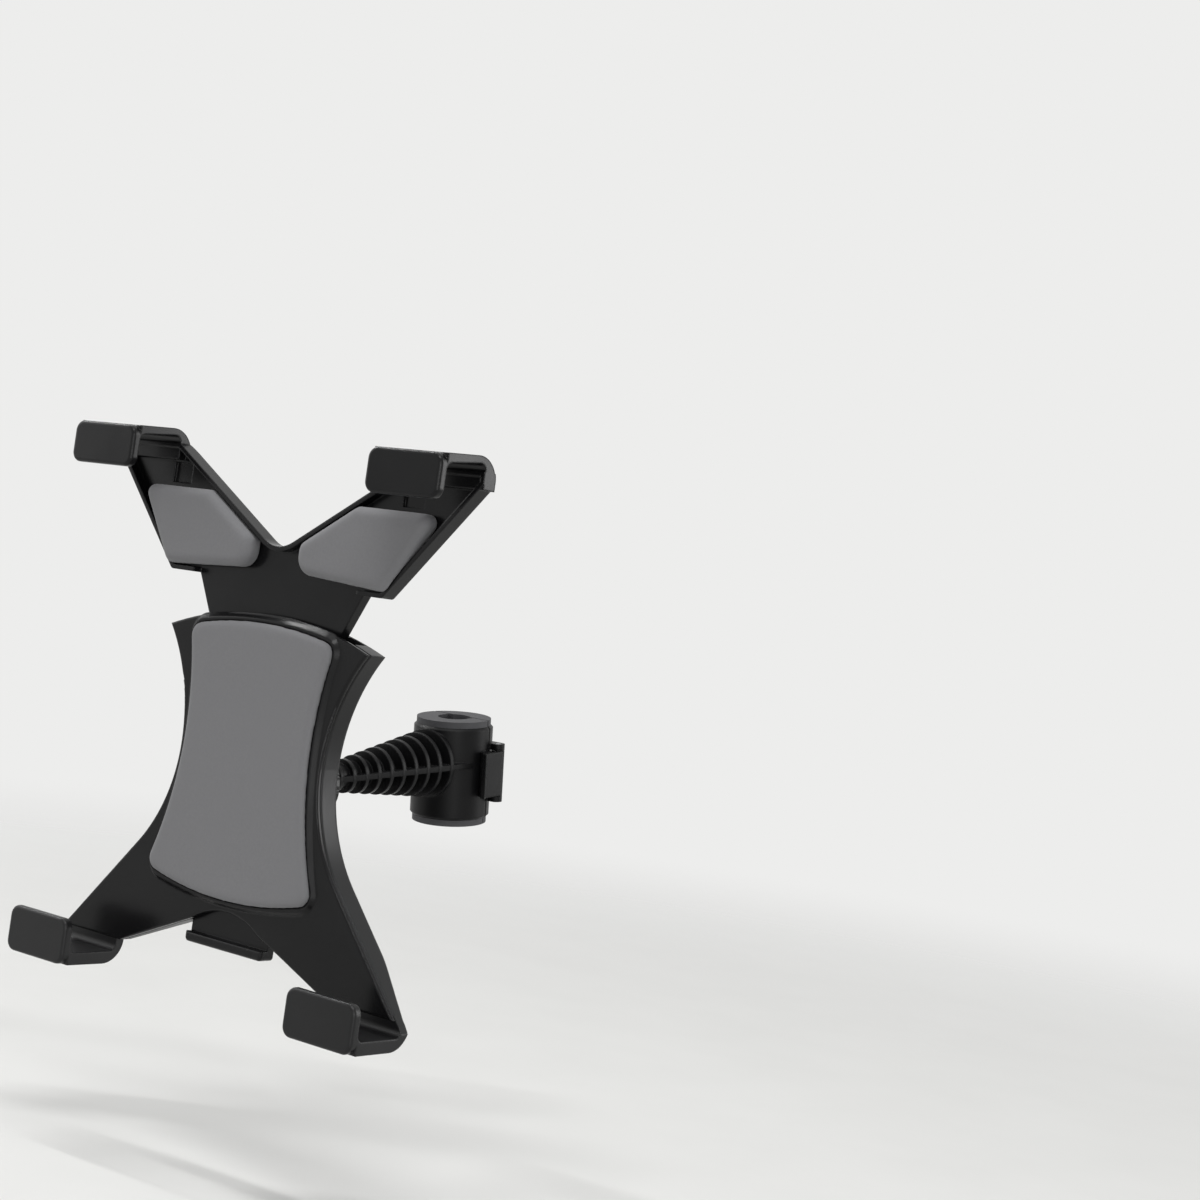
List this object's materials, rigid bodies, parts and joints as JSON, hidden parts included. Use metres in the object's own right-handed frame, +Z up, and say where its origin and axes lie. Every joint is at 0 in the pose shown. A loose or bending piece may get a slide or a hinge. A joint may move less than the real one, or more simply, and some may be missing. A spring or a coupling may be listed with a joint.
{
  "type": "headrest tablet holder",
  "caption": "Tablet holder with sprung-catch extending hooks and grey pads on a ball joint, a finned arm and a hinged clamp for a headrest post.",
  "frame": {"origin": "middle of the clamp's bore, on the post's axis", "axes": "+Z up along the holder, -Y the way the tablet's screen faces, +X to the right seen from the screen's side; the post leans 8 degrees towards the holder"},
  "size_m": [0.1696, 0.1434, 0.1869],
  "materials": {
    "black_plastic": "moulded, satin to glossy",
    "grey_pad": "matte soft-touch",
    "liner_rubber": "matte",
    "seat_plastic": "matte",
    "steel": "zinc-plated"
  },
  "bodies": {
    "arm": {"clamp_arm": "black_plastic", "liner_front": "liner_rubber", "jaw_pin": "steel"},
    "jaw": {"clamp_jaw": "black_plastic", "liner_rear": "liner_rubber", "latch_pin": "steel"},
    "latch": {"latch_clip": "black_plastic"},
    "ball": {"ball_stud": "black_plastic", "stud_screw": "steel"},
    "nut": {"ring_nut": "black_plastic", "ball_seat": "seat_plastic"},
    "holder": {"rear_shell": "black_plastic", "front_cover": "black_plastic", "center_pad": "grey_pad", "shell_screws": "steel", "click_spring": "steel", "return_spring": "steel"},
    "slider": {"slider_bracket": "black_plastic", "upper_pad_left": "grey_pad", "upper_pad_right": "grey_pad"},
    "release": {"release_tab": "black_plastic"}
  },
  "joints": [
    {"name": "jaw_hinge", "type": "hinge", "parent": "arm", "child": "jaw", "pos_m": [-0.0162, 0.00396, 0.00056], "axis": [0, -0.1392, 0.9903], "range_deg": [0, 100]},
    {"name": "latch_hinge", "type": "hinge", "parent": "jaw", "child": "latch", "pos_m": [0.0156, 0.00753, 0.00106], "axis": [0, -0.1392, 0.9903], "range_deg": [0, 25]},
    {"name": "stud_turn", "type": "hinge", "parent": "arm", "child": "ball", "pos_m": [0, -0.0807, -0.00781], "axis": [0, 0.9903, 0.1392], "continuous": true},
    {"name": "ball_tilt", "type": "hinge", "parent": "ball", "child": "nut", "pos_m": [0, -0.0807, -0.00781], "axis": [1, 0, 0], "range_deg": [-8, 24]},
    {"name": "holder_turn", "type": "hinge", "parent": "nut", "child": "holder", "pos_m": [0, -0.0807, -0.00781], "axis": [0, 1, 0], "continuous": true},
    {"name": "bracket_slide", "type": "slide", "parent": "holder", "child": "slider", "axis": [0, 0, 1], "range_m": [-0.01, 0.036], "deforming": ["click_spring"]},
    {"name": "release_push", "type": "slide", "parent": "holder", "child": "release", "axis": [0, 0, 1], "range_m": [0, 0.0035], "stiffness_N_per_m": 300, "deforming": ["return_spring"]}
  ]
}
